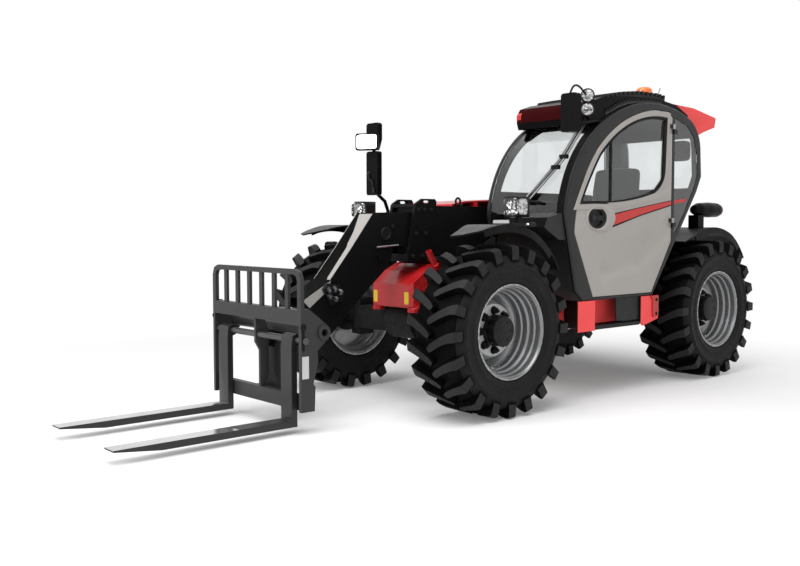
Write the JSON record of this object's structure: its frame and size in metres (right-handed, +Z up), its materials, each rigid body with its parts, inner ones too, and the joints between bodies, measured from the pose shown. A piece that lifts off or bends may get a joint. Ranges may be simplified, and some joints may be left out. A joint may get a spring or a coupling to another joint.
{
  "type": "telehandler",
  "caption": "Agricultural telescopic handler with side cab, telescopic boom, pallet fork carriage and four steered wheels on lugged tyres.",
  "frame": {"origin": "centre of the bounding box's base, on the ground", "axes": "+X forward along the forks, +Y to the machine's left, +Z up"},
  "size_m": [6, 2.162, 2.568],
  "materials": {
    "frame_red": "satin",
    "frame_black": "satin",
    "boom_grey": "satin",
    "cab_grey": "satin",
    "door_grey": "satin",
    "glass": "polished",
    "tyre": "matte",
    "rim": "satin",
    "steel": "brushed",
    "chrome": "polished",
    "cast": "satin",
    "plastic": "matte",
    "orange": "gloss",
    "fabric": "matte"
  },
  "bodies": {
    "chassis": {"chassis_frame": "frame_red", "tow_plate": "frame_red", "engine_block": "cast", "front_axle": "cast", "rear_axle": "cast", "front_fenders": "plastic", "rear_fenders": "plastic", "cab_shell": "cab_grey", "windscreen": "glass", "cab_glass": "glass", "cab_roof": "plastic", "roof_guard": "frame_black", "roof_wing": "frame_red", "seat_base": "plastic", "seat": "fabric", "dashboard": "plastic", "steering_wheel": "plastic", "step_frame": "frame_red", "step_tread": "frame_black", "step_box": "plastic", "engine_cowl": "plastic", "front_lamps": "plastic", "tail_lamps": "plastic", "beacon": "orange", "left_mirror": "plastic", "right_mirror": "plastic"},
    "boom_outer": {"boom_outer": "boom_grey"},
    "boom_inner": {"boom_inner": "boom_grey"},
    "carriage": {"coupler": "frame_black", "carriage": "frame_black", "fork_shaft": "steel"},
    "fork_left": {"fork_left": "steel"},
    "fork_right": {"fork_right": "steel"},
    "door": {"door": "door_grey", "door_glass": "glass", "door_handle": "plastic"},
    "hood": {"hood": "frame_red"},
    "lift_barrel": {"lift_barrel": "frame_black"},
    "lift_rod": {"lift_rod": "chrome"},
    "tilt_barrel": {"tilt_barrel": "frame_black"},
    "tilt_rod": {"tilt_rod": "chrome"},
    "knuckle_front_left": {"knuckle_front_left": "cast"},
    "wheel_front_left": {"hub_front_left": "cast", "rim_front_left": "rim", "tyre_front_left": "tyre"},
    "knuckle_front_right": {"knuckle_front_right": "cast"},
    "wheel_front_right": {"hub_front_right": "cast", "rim_front_right": "rim", "tyre_front_right": "tyre"},
    "knuckle_rear_left": {"knuckle_rear_left": "cast"},
    "wheel_rear_left": {"hub_rear_left": "cast", "rim_rear_left": "rim", "tyre_rear_left": "tyre"},
    "knuckle_rear_right": {"knuckle_rear_right": "cast"},
    "wheel_rear_right": {"hub_rear_right": "cast", "rim_rear_right": "rim", "tyre_rear_right": "tyre"}
  },
  "joints": [
    {"name": "boom_lift", "type": "hinge", "parent": "chassis", "child": "boom_outer", "pos_m": [-2.63, 0, 1.42], "axis": [0, -1, 0], "range_deg": [0, 65]},
    {"name": "boom_extend", "type": "slide", "parent": "boom_outer", "child": "boom_inner", "axis": [1, 0, 0], "range_m": [0, 2.2]},
    {"name": "carriage_tilt", "type": "hinge", "parent": "boom_inner", "child": "carriage", "pos_m": [1.44, 0, 0.47], "axis": [0, 1, 0], "range_deg": [-12, 115]},
    {"name": "fork_left_slide", "type": "slide", "parent": "carriage", "child": "fork_left", "axis": [0, 1, 0], "range_m": [-0.3, 0.035]},
    {"name": "fork_right_slide", "type": "slide", "parent": "carriage", "child": "fork_right", "axis": [0, -1, 0], "range_m": [-0.3, 0.035]},
    {"name": "door_hinge", "type": "hinge", "parent": "chassis", "child": "door", "pos_m": [-1.678, 1.014, 1.5], "axis": [0, 0, 1], "range_deg": [0, 90]},
    {"name": "hood_hinge", "type": "hinge", "parent": "chassis", "child": "hood", "pos_m": [-1.08, -0.236, 1.5], "axis": [-1, 0, 0], "range_deg": [0, 55]},
    {"name": "lift_barrel_pivot", "type": "hinge", "parent": "chassis", "child": "lift_barrel", "pos_m": [-2.3, 0, 0.815], "axis": [0, -1, 0], "range_deg": [0, 62.66]},
    {"name": "lift_rod_slide", "type": "slide", "parent": "lift_barrel", "child": "lift_rod", "axis": [0.9903, 0, 0.1386], "range_m": [0, 0.74848]},
    {"name": "tilt_barrel_pivot", "type": "hinge", "parent": "boom_inner", "child": "tilt_barrel", "pos_m": [0.76, 0, 1.11], "axis": [0, -1, 0], "range_deg": [-9.53, 1.01]},
    {"name": "tilt_rod_slide", "type": "slide", "parent": "tilt_barrel", "child": "tilt_rod", "axis": [0.8845, 0, -0.4665], "range_m": [-0.04695, 0.44163]},
    {"name": "front_left_steer", "type": "hinge", "parent": "chassis", "child": "knuckle_front_left", "pos_m": [0.37, 0.64, 0.607], "axis": [0, 0, 1], "range_deg": [-32, 32]},
    {"name": "front_left_spin", "type": "hinge", "parent": "knuckle_front_left", "child": "wheel_front_left", "pos_m": [0.37, 0.85, 0.607], "axis": [0, 1, 0], "continuous": true},
    {"name": "front_right_steer", "type": "hinge", "parent": "chassis", "child": "knuckle_front_right", "pos_m": [0.37, -0.64, 0.607], "axis": [0, 0, 1], "range_deg": [-32, 32]},
    {"name": "front_right_spin", "type": "hinge", "parent": "knuckle_front_right", "child": "wheel_front_right", "pos_m": [0.37, -0.85, 0.607], "axis": [0, 1, 0], "continuous": true},
    {"name": "rear_left_steer", "type": "hinge", "parent": "chassis", "child": "knuckle_rear_left", "pos_m": [-2.35, 0.64, 0.607], "axis": [0, 0, -1], "range_deg": [-32, 32]},
    {"name": "rear_left_spin", "type": "hinge", "parent": "knuckle_rear_left", "child": "wheel_rear_left", "pos_m": [-2.35, 0.85, 0.607], "axis": [0, 1, 0], "continuous": true},
    {"name": "rear_right_steer", "type": "hinge", "parent": "chassis", "child": "knuckle_rear_right", "pos_m": [-2.35, -0.64, 0.607], "axis": [0, 0, -1], "range_deg": [-32, 32]},
    {"name": "rear_right_spin", "type": "hinge", "parent": "knuckle_rear_right", "child": "wheel_rear_right", "pos_m": [-2.35, -0.85, 0.607], "axis": [0, 1, 0], "continuous": true}
  ],
  "couplings": [
    {"joint": "lift_barrel_pivot", "follows": "boom_lift", "ratio": 0.96203},
    {"joint": "lift_rod_slide", "follows": "boom_lift", "m_per_rad": 0.65845},
    {"joint": "tilt_barrel_pivot", "follows": "carriage_tilt", "ratio": -0.08268},
    {"joint": "tilt_rod_slide", "follows": "carriage_tilt", "m_per_rad": 0.21954},
    {"joint": "front_right_steer", "follows": "front_left_steer", "ratio": 1},
    {"joint": "rear_right_steer", "follows": "rear_left_steer", "ratio": 1}
  ]
}
